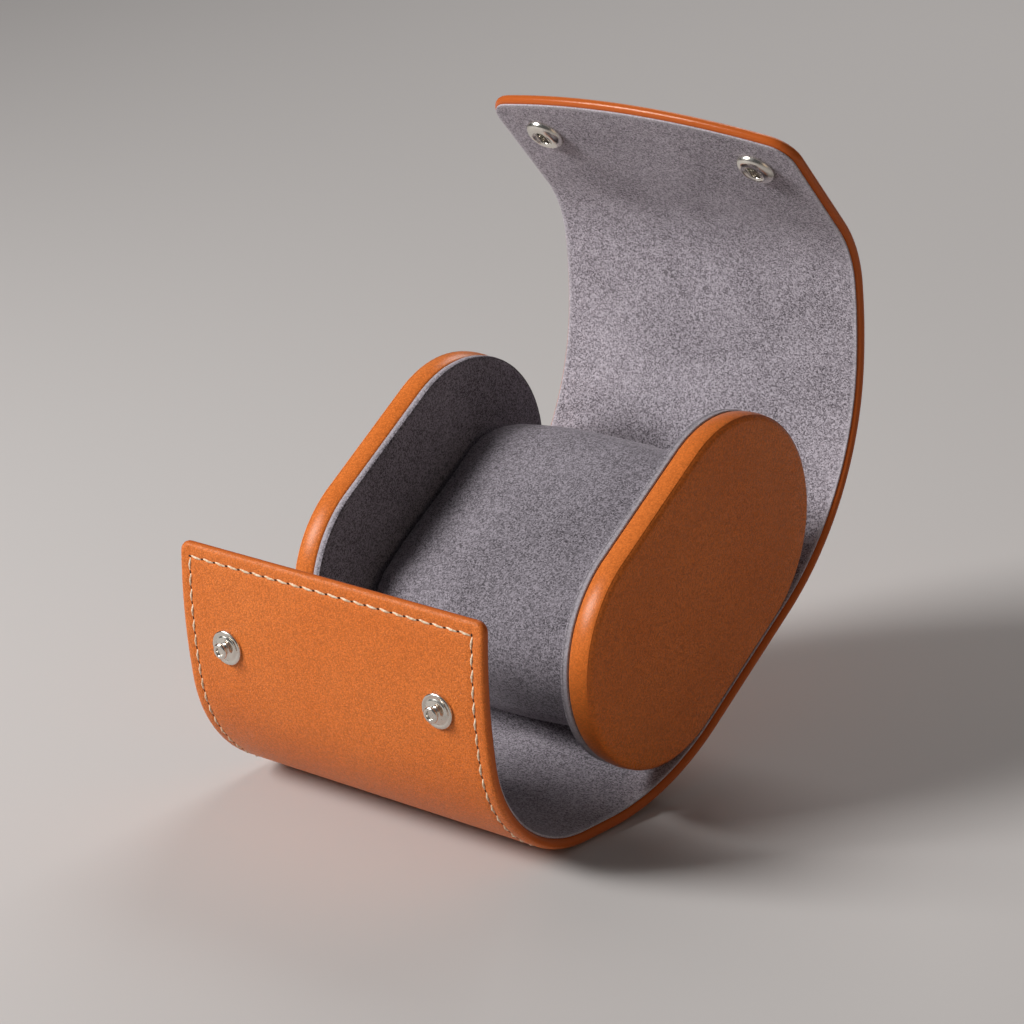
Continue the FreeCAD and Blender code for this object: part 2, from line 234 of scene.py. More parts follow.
def cut_sheet(name, inset, low, high, groove=0.0):
    """A flat sheet of the wrap's outline, drawn in by an inset, with a half-round edge all round
    and a groove in its outer face under the stitches of the flap and the sides."""
    width, length = wrap_width - 2 * inset, lid_tip - 2 * inset
    half = (high - low) / 2
    deselect()
    bpy.ops.mesh.primitive_plane_add(size=1, location=(0, inset + length / 2, low + half))
    sheet = bpy.context.object
    sheet.name = name
    sheet.scale = (width, length, 1)
    bpy.ops.object.transform_apply(location=True, rotation=True, scale=True)
    middle = length / 2
    for corner, at_lid in ((flap_corner, False), (lid_corner, True)):
        pick(sheet, "VERT", lambda v: (v.co.y > middle) == at_lid)
        bpy.ops.mesh.bevel(affect="VERTICES", offset=corner - inset, segments=corner_steps)
    tip = lid_tip - inset
    pick(sheet, "EDGE", lambda e: all(sheet.data.vertices[k].co.y > tip - hair for k in e.vertices))
    bpy.ops.mesh.subdivide(number_cuts=tip_cuts)
    bpy.ops.object.mode_set(mode="OBJECT")
    for vertex in sheet.data.vertices:
        if vertex.co.y > tip - lid_corner - corner_margin:
            vertex.co.y -= tip_drop(vertex.co.x)
    # the edge is inset step by step along a quarter circle, down to the outer face
    pick(sheet, "FACE", lambda f: True)
    angles = [math.radians(90) * k / edge_steps for k in range(edge_steps + 1)]
    for first, last in zip(angles, angles[1:]):
        step = half * (math.cos(first) - math.cos(last))
        fall = half * (math.sin(last) - math.sin(first))
        bpy.ops.mesh.inset(thickness=step, use_even_offset=True)
        bpy.ops.transform.translate(value=(0, 0, -fall))
    rows = [k * row_pitch for k in range(1, int(lid_tip / row_pitch))] + borders[1:-1] + groove_columns
    columns = [k * column_pitch for k in range(-half_columns, half_columns + 1)]
    columns += [side * (wrap_width / 2 - step) for side in (-1, 1) for step in groove_columns]
    cuts = [((0, y, 0), (0, 1, 0)) for y in rows]
    cuts += [((x, 0, 0), (1, 0, 0)) for x in columns]
    for place, direction in cuts:
        bpy.ops.mesh.select_all(action="SELECT")
        bpy.ops.mesh.bisect(plane_co=place, plane_no=direction)
    # the other face is the mirror image in the sheet's middle, and the two meet at the outline
    bpy.ops.mesh.select_all(action="SELECT")
    bpy.ops.mesh.duplicate()
    bpy.ops.transform.resize(value=(1, 1, -1), center_override=(0, 0, low + half))
    bpy.ops.mesh.select_all(action="SELECT")
    bpy.ops.mesh.remove_doubles(threshold=merge_gap)
    bpy.ops.mesh.normals_make_consistent(inside=False)
    bpy.ops.object.mode_set(mode="OBJECT")
    for vertex in sheet.data.vertices:
        if vertex.co.z < low + hair:
            side = abs(wrap_width / 2 - stitch_inset - abs(vertex.co.x))
            away = min(side, abs(vertex.co.y - stitch_inset)) / groove_half_width
            vertex.co.z += groove * max(0.0, 1 - away ** 2) ** 2
    return sheet


def roll(piece):
    """Keeps the flat place of each vertex for the materials, then rolls the piece round the profile."""
    flat = piece.data.attributes.new("flat_place", "FLOAT_VECTOR", "POINT")
    for vertex in piece.data.vertices:
        flat.data[vertex.index].vector = vertex.co
        vertex.co = wrap_point(vertex.co.y, vertex.co.z, vertex.co.x)
    piece.data.update()


def finish_piece(piece, material, angle=40):
    """Smooth shading up to an angle between faces, and the material."""
    deselect()
    piece.select_set(True)
    bpy.context.view_layer.objects.active = piece
    bpy.ops.object.shade_smooth_by_angle(angle=math.radians(angle))
    piece.data.materials.clear()
    piece.data.materials.append(material)


def lengths_of(sheet):
    """The six lengths of a flat sheet, each closed where it was cut."""
    made = []
    for first, last in zip(borders, borders[1:]):
        deselect()
        sheet.select_set(True)
        bpy.context.view_layer.objects.active = sheet
        bpy.ops.object.duplicate()
        length = bpy.context.object
        bpy.ops.object.mode_set(mode="EDIT")
        for station, is_start in ((first, True), (last, False)):
            if 0 < station < lid_tip:
                bpy.ops.mesh.select_all(action="SELECT")
                bpy.ops.mesh.bisect(
                    plane_co=(0, station, 0), plane_no=(0, 1, 0), use_fill=True,
                    clear_inner=is_start, clear_outer=not is_start)
        bpy.ops.object.mode_set(mode="OBJECT")
        made.append(length)
    bpy.data.objects.remove(sheet)
    return made


def panels_of_length(count):
    """The panels that a length stands for: the first covers two, the others one each."""
    return panel_bodies[:2] if count == 0 else [panel_bodies[count + 1]]


def bend_across(piece, count):
    """Bakes the piece's place into its mesh. The two ends of the bend across its fold line are found but not
    used.
    """
    start = wrap_point(folds[count] - bend_reach, wrap_thickness)
    end = wrap_point(folds[count] + bend_reach, wrap_thickness)
    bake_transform(piece)


def add_node(tree, kind, inputs=None, **settings):
    """Adds a shader node with its settings, its values and its links."""
    made = tree.nodes.new(kind)
    for key, value in settings.items():
        setattr(made, key, value)
    for socket, value in (inputs or {}).items():
        if isinstance(value, bpy.types.NodeSocket):
            tree.links.new(value, made.inputs[socket])
        else:
            made.inputs[socket].default_value = value
    return made


def tan_leather(
        name, pebble_width, speckle, dullness, relief, mirror, stretch, edge_dullness, burnish_and_shade,
        attribute=None):
    """Full-grain leather, drum dyed tan and lightly waxed: a fine pebbled grain, a satin gloss, and a tone
    that drifts a little. Where it is stretched over an edge it is smoother and glossier. On the wrap's
    turned edges it is a darker brown, partly burnished leather and partly painted shade. The stretch is an
    axis and the two places between which it begins."""
    tree, shader, made = new_material(name)
    if attribute:
        place = add_node(tree, "ShaderNodeAttribute", attribute_name=attribute).outputs["Vector"]
    else:
        place = add_node(tree, "ShaderNodeTexCoord").outputs["Object"]
    pore_width, drift_width = 0.24 * MM, 25 * MM
    pebbles = add_node(tree, "ShaderNodeTexVoronoi", {"Vector": place, "Scale": 1 / pebble_width})
    pores = add_node(tree, "ShaderNodeTexNoise", {"Vector": place, "Scale": 1 / pore_width, "Detail": 2.0})
    drift = add_node(tree, "ShaderNodeTexNoise", {"Vector": place, "Scale": 1 / drift_width, "Detail": 2.0})
    axis, stretch_start, stretch_end = stretch
    axes = add_node(tree, "ShaderNodeSeparateXYZ", {"Vector": place})
    away = add_node(tree, "ShaderNodeMath", {0: axes.outputs[axis]}, operation="ABSOLUTE")
    stretched = add_node(tree, "ShaderNodeMapRange", {
        "Value": away.outputs[0], "From Min": stretch_start, "From Max": stretch_end}).outputs[0]
    speck = add_node(tree, "ShaderNodeSeparateColor", {"Color": pebbles.outputs["Color"]})
    grain = add_node(tree, "ShaderNodeMath", {
        0: pebbles.outputs["Distance"], 1: pores.outputs["Fac"]}, operation="ADD")
    tone = add_node(tree, "ShaderNodeValToRGB", {"Fac": drift.outputs["Fac"]})
    tone.color_ramp.elements[0].position = 0.25
    tone.color_ramp.elements[0].color = colour("#DA7430")
    tone.color_ramp.elements[1].position = 0.75
    tone.color_ramp.elements[1].color = colour("#E27F3C")
    valley = add_node(tree, "ShaderNodeMapRange", {
        "Value": grain.outputs[0], "From Min": 0.55, "From Max": 1.25, "To Min": 0.0, "To Max": 0.32})
    shade = add_node(tree, "ShaderNodeMix", {
        "Factor": valley.outputs[0], "A": tone.outputs["Color"], "B": colour("#A34A15")},
        data_type="RGBA")
    glint = add_node(tree, "ShaderNodeMapRange", {
        "Value": speck.outputs[0], "To Min": -1.0, "To Max": 0.85})
    contrast = add_node(tree, "ShaderNodeMapRange", {"Value": stretched, "To Min": speckle, "To Max": 0.18})
    light = add_node(tree, "ShaderNodeMath", {
        0: glint.outputs[0], 1: contrast.outputs[0], 2: 1.0}, operation="MULTIPLY_ADD")
    speckled = add_node(tree, "ShaderNodeVectorMath", {
        0: shade.outputs["Result"], "Scale": light.outputs[0]}, operation="SCALE")
    # darker turned edges: partly burnished leather, partly painted shade
    darker = add_node(tree, "ShaderNodeMath", {0: stretched, 1: burnish_and_shade}, operation="MULTIPLY")
    burnished_and_shaded = add_node(tree, "ShaderNodeMix", {
        "Factor": darker.outputs[0], "A": speckled.outputs[0], "B": colour("#BC5C26")}, data_type="RGBA")
    tree.links.new(burnished_and_shaded.outputs["Result"], shader.inputs["Base Color"])
    gloss = add_node(tree, "ShaderNodeMapRange", {
        "Value": speck.outputs[1], "To Min": dullness - 0.06, "To Max": dullness + 0.06})
    smooth = add_node(tree, "ShaderNodeMix", {
        "Factor": stretched, "A": gloss.outputs[0], "B": edge_dullness})
    tree.links.new(smooth.outputs["Result"], shader.inputs["Roughness"])
    calm = add_node(tree, "ShaderNodeMapRange", {"Value": stretched, "To Min": relief, "To Max": 0.1})
    bump = add_node(tree, "ShaderNodeBump", {
        "Height": grain.outputs[0], "Strength": calm.outputs[0], "Distance": 0.12 * MM}, invert=True)
    tree.links.new(bump.outputs["Normal"], shader.inputs["Normal"])
    shader.inputs["IOR"].default_value = 1.48
    shader.inputs["Specular IOR Level"].default_value = mirror
    shader.inputs["Specular Tint"].default_value = colour("#FCEADB")
    return made


wrap_leather = tan_leather(
    "tan_full_grain_leather", pebble_width=0.28 * MM, speckle=0.2, dullness=0.4, relief=0.6, mirror=0.26,
    stretch=("Z", 0.1 * MM, 0.9 * MM), edge_dullness=0.21, burnish_and_shade=1.0, attribute="flat_place")
leather_sheet = cut_sheet("wrap_leather", 0.0, 0.0, leather_thickness, groove=groove_depth)
stiffener_names = {"flap": "flap_plate", "foot": "foot_plate"}
for count, length in enumerate(lengths_of(leather_sheet)):
    length.name = "wrap_leather_" + panel_bodies[count] + "_to_" + panel_bodies[count + 1]
    roll(length)
    finish_piece(length, wrap_leather)
    bend_across(length, count)
    for body in panels_of_length(count):
        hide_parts(body + "_leather", stiffener_names.get(body, body + "_board"))

# Lining: one strip of grey microfibre suede, glued into the wrap just inside its rolled edge,
# with its own thin soft edge. It is kept in the same six lengths as the leather.
lining_inset = 0.8 * MM
lining_edge = 1 * MM


def grey_suede(name, dark, pale, edge, fluff_and_sheen, attribute=None):
    """Microfibre suede: a short nap that catches the light as fine speckle, with patches a centimetre or
    two across where it was brushed the other way. Near an edge it is paler: on the lining a cut edge that
    has fluffed up, and on the pads' rounded rims a painted sheen. The fibres are drawn coarser than real, to
    show."""
    tree, shader, made = new_material(name)
    if attribute:
        place = add_node(tree, "ShaderNodeAttribute", attribute_name=attribute).outputs["Vector"]
    else:
        place = add_node(tree, "ShaderNodeTexCoord").outputs["Object"]
    tuft_width, fibre_width, patch_width = 0.26 * MM, 0.24 * MM, 20 * MM
    edge_width, tip_edge_width = 1 * MM, 1.2 * MM
    tufts = add_node(tree, "ShaderNodeTexVoronoi", {"Vector": place, "Scale": 1 / tuft_width})
    tuft = add_node(tree, "ShaderNodeSeparateColor", {"Color": tufts.outputs["Color"]})
    fibres = add_node(tree, "ShaderNodeTexNoise", {
        "Vector": place, "Scale": 1 / fibre_width, "Detail": 3.0, "Roughness": 0.65})
    patches = add_node(tree, "ShaderNodeTexNoise", {
        "Vector": place, "Scale": 1 / patch_width, "Detail": 2.0, "Distortion": 0.6})
    brushed = add_node(tree, "ShaderNodeMapRange", {
        "Value": patches.outputs["Fac"], "From Min": 0.3, "From Max": 0.7, "To Min": -0.07, "To Max": 0.07})
    nap = add_node(tree, "ShaderNodeMath", {
        0: tuft.outputs[0], 1: 0.6, 2: brushed.outputs[0]}, operation="MULTIPLY_ADD")
    level = add_node(tree, "ShaderNodeMath", {
        0: fibres.outputs["Fac"], 1: 0.4, 2: nap.outputs[0]}, operation="MULTIPLY_ADD")
    tone = add_node(tree, "ShaderNodeValToRGB", {"Fac": level.outputs[0]})
    tone.color_ramp.elements[0].position = 0.1
    tone.color_ramp.elements[0].color = colour(dark)
    tone.color_ramp.elements[1].position = 0.9
    tone.color_ramp.elements[1].color = colour(pale)
    axes = add_node(tree, "ShaderNodeSeparateXYZ", {"Vector": place})
    across = add_node(tree, "ShaderNodeMath", {0: axes.outputs["X"]}, operation="ABSOLUTE")
    rim = add_node(tree, "ShaderNodeMapRange", {
        "Value": across.outputs[0], "From Min": edge - edge_width, "From Max": edge})
    if attribute:
        bow_share = lid_bow / (wrap_width / 2) ** 2
        bow = add_node(tree, "ShaderNodeMath", {
            0: axes.outputs["X"], 1: axes.outputs["X"]}, operation="MULTIPLY")
        along = add_node(tree, "ShaderNodeMath", {
            0: bow.outputs[0], 1: bow_share, 2: axes.outputs["Y"]}, operation="MULTIPLY_ADD")
        tip = add_node(tree, "ShaderNodeMapRange", {
            "Value": along.outputs[0], "From Min": lid_tip - lining_edge - tip_edge_width,
            "From Max": lid_tip - lining_edge})
        rim = add_node(tree, "ShaderNodeMath", {0: rim.outputs[0], 1: tip.outputs[0]}, operation="MAXIMUM")
    # paler near the edge: fluffed nap where the lining is cut, painted sheen on the pads' rims
    share = add_node(tree, "ShaderNodeMath", {0: rim.outputs[0], 1: fluff_and_sheen}, operation="MULTIPLY")
    fluff_and_sheen_tone = add_node(tree, "ShaderNodeMix", {
        "Factor": share.outputs[0], "A": tone.outputs["Color"], "B": colour("#CFC8CE")}, data_type="RGBA")
    tree.links.new(fluff_and_sheen_tone.outputs["Result"], shader.inputs["Base Color"])
    bump = add_node(tree, "ShaderNodeBump", {
        "Height": level.outputs[0], "Strength": 0.7, "Distance": 0.2 * MM})
    tree.links.new(bump.outputs["Normal"], shader.inputs["Normal"])
    shader.inputs["Roughness"].default_value = 0.95
    shader.inputs["Specular IOR Level"].default_value = 0.2
    shader.inputs["Sheen Weight"].default_value = 0.35
    shader.inputs["Sheen Roughness"].default_value = 0.45
    shader.inputs["Sheen Tint"].default_value = colour("#D8D0D6")
    return made


lining_suede = grey_suede(
    "grey_microfibre_suede", dark="#413A3F", pale="#CDC4CD", edge=wrap_width / 2 - lining_edge, fluff_and_sheen=0.45,
    attribute="flat_place")
lining_sheet = cut_sheet("wrap_lining", lining_inset, leather_thickness, wrap_thickness)
for count, length in enumerate(lengths_of(lining_sheet)):
    length.name = "wrap_lining_" + panel_bodies[count] + "_to_" + panel_bodies[count + 1]
    roll(length)
    finish_piece(length, lining_suede)
    bend_across(length, count)
    for body in panels_of_length(count):
        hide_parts(body + "_lining")

# Thread: a cream waxed saddle stitch round the whole wrap, 2.8 mm inside its edge. Each stitch lies aslant
# in a shallow groove and dips into the awl holes at its ends. It is modelled once and copied.
stitch_pitch = 3.2 * MM
stitch_length = 2.75 * MM
thread_radius = 0.24 * MM
stitch_slant = math.radians(7.5)
stitch_dip = 0.28 * MM
shade_disc_radius = 0.3 * MM
shade_disc_shape = (0.8, 1.25, 0.2)
stitch_depth, shade_disc_depth = 0.02 * MM, 0.14 * MM
corner_run = 6 * MM
tip_steps = 22


def waxed_thread():
    """Waxed linen thread: a pale cream cord, slightly glossy, with the twist of its plies drawn coarse."""
    tree, shader, made = new_material("waxed_linen_thread")
    place = add_node(tree, "ShaderNodeAttribute", attribute_name="flat_place").outputs["Vector"]
    ply_width = 0.5 * MM
    plies = add_node(tree, "ShaderNodeTexNoise", {"Vector": place, "Scale": 1 / ply_width, "Detail": 1.0})
    tone = add_node(tree, "ShaderNodeValToRGB", {"Fac": plies.outputs["Fac"]})
    tone.color_ramp.elements[0].position = 0.35
    tone.color_ramp.elements[0].color = colour("#D2AF8A")
    tone.color_ramp.elements[1].position = 0.65
    tone.color_ramp.elements[1].color = colour("#F3E2C8")
    tree.links.new(tone.outputs["Color"], shader.inputs["Base Color"])
    bump = add_node(tree, "ShaderNodeBump", {
        "Height": plies.outputs["Fac"], "Strength": 0.4, "Distance": 0.1 * MM})
    tree.links.new(bump.outputs["Normal"], shader.inputs["Normal"])
    shader.inputs["Roughness"].default_value = 0.6
    return made


def painted_awl_hole_shade():
    """Painted shade for the mouth of an awl hole: the shadow inside the hole drawn as a rough, nearly black
    brown, mottled a little.
    """
    tree, shader, made = new_material("painted_awl_hole_shade")
    place = add_node(tree, "ShaderNodeAttribute", attribute_name="flat_place").outputs["Vector"]
    shade_mottle_width = 0.3 * MM
    shade_mottle = add_node(tree, "ShaderNodeTexNoise", {"Vector": place, "Scale": 1 / shade_mottle_width})
    tone = add_node(tree, "ShaderNodeMix", {
        "Factor": shade_mottle.outputs["Fac"], "A": colour("#2A1206"), "B": colour("#4A2410")}, data_type="RGBA")
    tree.links.new(tone.outputs["Result"], shader.inputs["Base Color"])
    shader.inputs["Roughness"].default_value = 0.9
    return made


def stitch_runs():
    """The stitch line on the flat sheet: the flap's edge, then both sides and the lid's tip."""
    side = wrap_width / 2 - stitch_inset
    inner_corner = lid_corner - stitch_inset
    turn_x, turn_y = wrap_width / 2 - lid_corner, lid_tip - lid_corner
    around = [Vector((side, stitch_inset + k * MM)) for k in range(int((turn_y - corner_run) / MM))]
    around.append(Vector((side, turn_y - tip_drop(side))))
    for k in range(1, 5):
        angle = math.radians(22.5 * k)
        x = turn_x + inner_corner * math.cos(angle)
        around.append(Vector((x, turn_y + inner_corner * math.sin(angle) - tip_drop(x))))
    for k in range(1, tip_steps + 1):
        x = turn_x * (1 - k / tip_steps)
        around.append(Vector((x, lid_tip - stitch_inset - tip_drop(x))))
    around += [Vector((-point.x, point.y)) for point in reversed(around[:-1])]
    return [[Vector((-side, stitch_inset)), Vector((side, stitch_inset))], around]


def steps_along(line):
    """Equal steps along a line, about one stitch pitch each, as place and direction."""
    spans = [(b - a).length for a, b in zip(line, line[1:])]
    count = round(sum(spans) / stitch_pitch)
    wanted = [sum(spans) * k / (2 * count) for k in range(2 * count)]
    made, begin = [], 0.0
    for (a, b), span in zip(zip(line, line[1:]), spans):
        while wanted and wanted[0] <= begin + span:
            made.append((a + (b - a) * ((wanted.pop(0) - begin) / span), (b - a).normalized()))
        begin += span
    return made


deselect()
bpy.ops.mesh.primitive_uv_sphere_add(segments=8, ring_count=6, radius=thread_radius)
stitch = bpy.context.object
stitch.rotation_euler = (math.radians(90), 0, 0)
bpy.ops.object.transform_apply(location=False, rotation=True, scale=False)
for side in (-1, 1):
    pick(stitch, "VERT", lambda v: v.co.y * side > merge_gap)
    bpy.ops.transform.translate(value=(0, side * (stitch_length / 2 - thread_radius), stitch_dip))
bpy.ops.object.mode_set(mode="OBJECT")
stitch.data.materials.append(waxed_thread())
deselect()
# each awl hole is a small dark disc of painted shade, standing for the shadow inside the hole
bpy.ops.mesh.primitive_uv_sphere_add(segments=8, ring_count=4, radius=shade_disc_radius)
awl_hole_shade_disc = bpy.context.object
awl_hole_shade_disc.scale = shade_disc_shape
bpy.ops.object.transform_apply(location=False, rotation=False, scale=True)
awl_hole_shade_disc.data.materials.append(painted_awl_hole_shade())

stitch_copies = [[] for length in borders[1:]]
for line in stitch_runs():
    for count, (place, direction) in enumerate(steps_along(line)):
        model = stitch if count % 2 else awl_hole_shade_disc
        copy = model.copy()
        copy.data = model.data.copy()
        bpy.context.collection.objects.link(copy)
        depth = stitch_depth if count % 2 else shade_disc_depth
        slant = stitch_slant if count % 2 else 0.0
        turn = math.atan2(direction.y, direction.x) - math.radians(90) + slant
        copy.data.transform(Matrix.Translation((place.x, place.y, depth)) @ Matrix.Rotation(turn, 4, "Z"))
        home = max(k for k in range(len(borders) - 1) if borders[k] <= place.y)
        stitch_copies[home].append(copy)
bpy.data.objects.remove(stitch)
bpy.data.objects.remove(awl_hole_shade_disc)
for count, copies in enumerate(stitch_copies):
    deselect()
    for copy in copies:
        copy.select_set(True)
    bpy.context.view_layer.objects.active = copies[0]
    bpy.ops.object.join()
    stitching = bpy.context.object
    stitching.name = "stitching_" + panel_bodies[count] + "_to_" + panel_bodies[count + 1]
    stitching.matrix_world = Matrix.Identity(4)
    roll(stitching)
    deselect()
    stitching.select_set(True)
    bpy.context.view_layer.objects.active = stitching
    bpy.ops.object.shade_smooth()
    bend_across(stitching, count)

# Cheeks: two obround boards standing on the back panel, each covered in the tan leather, with a soft
# rounded rim and a barely crowned outer face.
cheek_centre = Vector((0, 24.414 * MM, 40.695 * MM))
cheek_radius = 25.2 * MM
cheek_half_straight = 13.9 * MM
cheek_in, cheek_out = 32.6 * MM, 38.0 * MM
cheek_edge, cheek_inner_edge = 1.1 * MM, 0.6 * MM
cheek_bulge = 0.5 * MM
cheek_crown = 0.3 * MM
round_steps = 96
side_rings = 8
crown_step, crown_rises = 0.18, (0.4, 0.3, 0.2, 0.1)


def lean_back(piece):
    """Turns a piece from the upright frame of the cheeks to their place on the back panel."""
    deselect()
    piece.select_set(True)
    bpy.context.view_layer.objects.active = piece
    piece.rotation_euler = (math.radians(lean), 0, 0)
    piece.location = cheek_centre
    bpy.ops.object.transform_apply(location=True, rotation=True, scale=True)


def obround(name, radius, low, high, rims, crown, bulge):
    """An obround slab from x low to x high, with a bulged side, rounded rims and a crown on one face."""
    deselect()
    bpy.ops.mesh.primitive_cylinder_add(
        vertices=round_steps, radius=radius, depth=high - low, location=((low + high) / 2, 0, 0),
        rotation=(0, math.radians(90), 0))
    piece = bpy.context.object
    piece.name = name
    bpy.ops.object.transform_apply(location=True, rotation=True, scale=True)
    piece.rotation_euler = (math.radians(180 / round_steps), 0, 0)
    bpy.ops.object.transform_apply(location=False, rotation=True, scale=False)
    for side in (-1, 1):
        pick(piece, "VERT", lambda v: v.co.y * side > 0)
        bpy.ops.transform.translate(value=(0, side * cheek_half_straight, 0))
    for k in range(1, side_rings):
        bpy.ops.mesh.select_all(action="SELECT")
        bpy.ops.mesh.bisect(plane_co=(low + (high - low) * k / side_rings, 0, 0), plane_no=(1, 0, 0))
    bpy.ops.object.mode_set(mode="OBJECT")
    for vertex in piece.data.vertices:
        middle = Vector((vertex.co.x, max(-cheek_half_straight, min(cheek_half_straight, vertex.co.y)), 0))
        share = (2 * vertex.co.x - low - high) / (high - low)
        vertex.co = middle + (vertex.co - middle) * (1 - bulge * share ** 2 / radius)
    for face, rim in ((low, rims[0]), (high, rims[1])):
        pick(piece, "EDGE", lambda e: all(
            abs(piece.data.vertices[k].co.x - face) < merge_gap for k in e.vertices))
        bpy.ops.mesh.bevel(affect="EDGES", offset=rim, segments=corner_steps)
    face, away = (high, 1) if abs(high) > abs(low) else (low, -1)
    if crown < 0:
        face, away = (low, -1) if away > 0 else (high, 1)
    pick(piece, "FACE", lambda f: f.normal.x * away > 0.99 and abs(f.center.x - face) < merge_gap)
    for rise in crown_rises:
        bpy.ops.mesh.inset(thickness=radius * crown_step)
        bpy.ops.transform.translate(value=(away * abs(crown) * rise, 0, 0))
    bpy.ops.object.mode_set(mode="OBJECT")
    return piece


cheek_leather = tan_leather(
    "tan_full_grain_leather_cheek", pebble_width=0.3 * MM, speckle=0.26, dullness=0.3, relief=0.5,
    mirror=0.22, stretch=("X", cheek_out - 0.1 * MM, cheek_out - 0.7 * MM), edge_dullness=0.3,
    burnish_and_shade=0.0)
for side, name in ((1, "right"), (-1, "left")):
    low, high = sorted((side * cheek_in, side * cheek_out))
    rims = (cheek_inner_edge, cheek_edge) if side > 0 else (cheek_edge, cheek_inner_edge)
    cheek = obround(name + "_cheek", cheek_radius, low, high, rims, cheek_crown, cheek_bulge)
    lean_back(cheek)
    finish_piece(cheek, cheek_leather)
    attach(cheek, "back")
    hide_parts(name + "_cheek_leather", name + "_cheek_board")

# Cheek pads: a thin sheet of foam under grey suede, glued to the inner face of each cheek,
# with a soft round edge whose pale line beside the leather is painted sheen.
pad_radius = 25.0 * MM
pad_in = 30.5 * MM
pad_edge, pad_glued_edge = 0.8 * MM, 0.25 * MM
pad_crown, pad_bulge = 0.25 * MM, 0.1 * MM
pad_rim_start = 1.6 * MM
# the pads, spine and pillow have the suede darker than the lining: partly its own tone, partly painted shade
# of the case's interior
interior_suede_with_painted_shade = grey_suede(
    "grey_microfibre_suede_pads_with_painted_shade", dark="#383337", pale="#ACA4AC", edge=pad_in + pad_rim_start, fluff_and_sheen=0.42)
for side, name in ((1, "right"), (-1, "left")):
    low, high = sorted((side * (pad_in + pad_crown), side * cheek_in))
    rims = (pad_edge, pad_glued_edge) if side > 0 else (pad_glued_edge, pad_edge)
    pad = obround(name + "_cheek_pad_suede", pad_radius, low, high, rims, -pad_crown, pad_bulge)
    lean_back(pad)
    finish_piece(pad, interior_suede_with_painted_shade)
    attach(pad, "back")
    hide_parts(name + "_cheek_pad")

# Spine: a stiff board covered in the pads' grey suede and glued to the back panel between the cheeks.
# It ties the two cheeks together and carries the pillow, and its edges are softly rounded.
spine_length, spine_half_width = 34.8 * MM, 30.5 * MM
spine_floor, spine_top = -25.4 * MM, -22.6 * MM
spine_edge = 0.9 * MM
deselect()
bpy.ops.mesh.primitive_cube_add(size=1, location=(0, 0, (spine_floor + spine_top) / 2))
spine = bpy.context.object
spine.name = "spine_suede"
spine.scale = (2 * spine_half_width, spine_length, spine_top - spine_floor)
bpy.ops.object.transform_apply(location=True, rotation=True, scale=True)
pick(spine, "EDGE", lambda e: True)
bpy.ops.mesh.bevel(affect="EDGES", offset=spine_edge, segments=4)
bpy.ops.object.mode_set(mode="OBJECT")
lean_back(spine)
finish_piece(spine, interior_suede_with_painted_shade)
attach(spine, "back")
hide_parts("spine_board", "spine_cover")

# Pillow: a block of soft foam in a sewn cover of grey suede, crowned along its length and drawn in at its
# ends, which lie loosely between the cheek pads. It lifts out.
pillow_length, pillow_thickness, pillow_corner = 65 * MM, 32 * MM, 13 * MM
pillow_half_width = 30.1 * MM
pillow_low = -22.3 * MM
pillow_shares = [(0.0, 1.0), (0.25, 0.997), (0.45, 0.985), (0.65, 0.967), (0.8, 0.945)]
pillow_shares += [(0.92, 0.9), (1.0, 0.84)]
pillow_start, pillow_start_width = 0.965, 0.975
pillow_rings = 20
pillow_voxel = 1.8 * MM
pillow_pressure, pillow_frames = 4, 20
pillow_swell = 1.2 * MM
seam_place = 0.93 * pillow_half_width
seam_depth, seam_half_width = 0.4 * MM, 1.1 * MM
pucker_count, pucker_depth = 44, 0.1 * MM
give_width, give_depth = 14 * MM, 0.2 * MM


def pillow_share(place):
    """How much of its full section the pillow has at a place between its middle and its end."""
    for (a, share_a), (b, share_b) in zip(pillow_shares, pillow_shares[1:]):
        if place <= b:
            return share_a + (share_b - share_a) * (place - a) / (b - a)
    return pillow_shares[-1][1]


deselect()
bpy.ops.mesh.primitive_cube_add(size=1)
pillow = bpy.context.object
pillow.name = "pillow_suede"
pillow.scale = (2 * pillow_half_width, pillow_length, pillow_thickness)
bpy.ops.object.transform_apply(location=True, rotation=True, scale=True)
pick(pillow, "EDGE", lambda e: abs(
    pillow.data.vertices[e.vertices[0]].co.x - pillow.data.vertices[e.vertices[1]].co.x) > pillow_half_width)
bpy.ops.mesh.bevel(affect="EDGES", offset=pillow_corner, segments=10)
for k in range(1 - pillow_rings, pillow_rings):
    bpy.ops.mesh.select_all(action="SELECT")
    bpy.ops.mesh.bisect(plane_co=(k * pillow_half_width / pillow_rings, 0, 0), plane_no=(1, 0, 0))
bpy.ops.object.mode_set(mode="OBJECT")
for vertex in pillow.data.vertices:
    share = pillow_share(abs(vertex.co.x) / pillow_half_width) * pillow_start
    vertex.co.y *= share
    vertex.co.z *= share
    vertex.co.x *= pillow_start_width
pillow.data.remesh_voxel_size = pillow_voxel
deselect()
pillow.select_set(True)
bpy.context.view_layer.objects.active = pillow
bpy.ops.object.voxel_remesh()
before = [vertex.co.copy() for vertex in pillow.data.vertices]
stuffing = pillow.modifiers.new("stuffing", "CLOTH")
stuffing.settings.use_pressure = True
stuffing.settings.uniform_pressure_force = pillow_pressure
stuffing.settings.effector_weights.gravity = 0
for step in range(1, pillow_frames + 1):
    bpy.context.scene.frame_set(step)
bpy.ops.object.modifier_apply(modifier="stuffing")
bpy.context.scene.frame_set(1)
for vertex, old in zip(pillow.data.vertices, before):
    move = vertex.co - old
    vertex.co = old + move * min(1, pillow_swell / max(move.length, 1e-9))
rounding = pillow.modifiers.new("rounding", "SUBSURF")
rounding.levels = 1
rounding.render_levels = 1
bpy.ops.object.modifier_apply(modifier="rounding")
